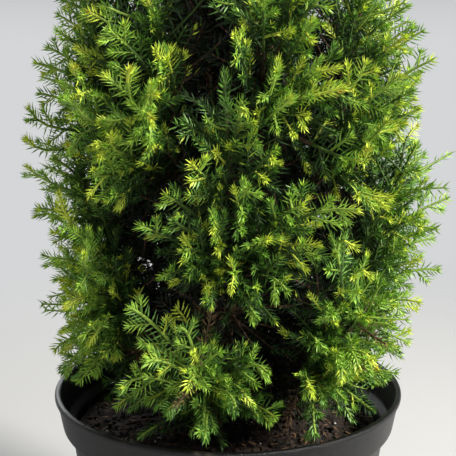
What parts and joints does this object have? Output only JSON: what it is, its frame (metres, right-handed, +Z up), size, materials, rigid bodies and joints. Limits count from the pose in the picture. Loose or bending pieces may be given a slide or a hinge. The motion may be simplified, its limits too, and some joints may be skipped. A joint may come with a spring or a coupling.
{
  "type": "potted golden lawson cypress",
  "caption": "Young golden cypress in a round black nursery pot: a dense, upright, flame-shaped crown of feathery yellow-green sprays on ascending boughs round a straight trunk.",
  "frame": {"origin": "middle of the pot's flat underside", "axes": "+Z up along the plant, -Y towards the front of the plant, +X to its right"},
  "size_m": [0.1539, 0.1551, 0.382],
  "materials": {
    "pot": "black moulded plastic with a low sheen",
    "compost": "dark brown moist compost with bits of bark",
    "bark": "thin reddish-brown bark",
    "foliage": "soft awl-shaped needles, golden at the tips and green within"
  },
  "bodies": {
    "root": {"pot": "pot", "compost": "compost", "trunk": "bark", "bough_skirt_1": "bark", "bough_skirt_2": "bark", "bough_skirt_3": "bark", "bough_skirt_4": "bark", "bough_skirt_5": "bark", "bough_skirt_6": "bark", "bough_low_1": "bark", "bough_low_2": "bark", "bough_low_3": "bark", "bough_low_4": "bark", "bough_low_5": "bark", "bough_low_6": "bark", "bough_low_7": "bark", "bough_middle_1": "bark", "bough_middle_2": "bark", "bough_middle_3": "bark", "bough_middle_4": "bark", "bough_middle_5": "bark", "bough_middle_6": "bark", "bough_middle_7": "bark", "bough_high_1": "bark", "bough_high_2": "bark", "bough_high_3": "bark", "bough_high_4": "bark", "bough_crest_1": "bark", "bough_crest_2": "bark", "bough_crest_3": "bark", "foliage_skirt_1": "foliage", "foliage_skirt_2": "foliage", "foliage_skirt_3": "foliage", "foliage_skirt_4": "foliage", "foliage_skirt_5": "foliage", "foliage_skirt_6": "foliage", "foliage_low_1": "foliage", "foliage_low_2": "foliage", "foliage_low_3": "foliage", "foliage_low_4": "foliage", "foliage_low_5": "foliage", "foliage_low_6": "foliage", "foliage_low_7": "foliage", "foliage_middle_1": "foliage", "foliage_middle_2": "foliage", "foliage_middle_3": "foliage", "foliage_middle_4": "foliage", "foliage_middle_5": "foliage", "foliage_middle_6": "foliage", "foliage_middle_7": "foliage", "foliage_high_1": "foliage", "foliage_high_2": "foliage", "foliage_high_3": "foliage", "foliage_high_4": "foliage", "foliage_crest_1": "foliage", "foliage_crest_2": "foliage", "foliage_crest_3": "foliage", "foliage_leader": "foliage"}
  },
  "joints": []
}
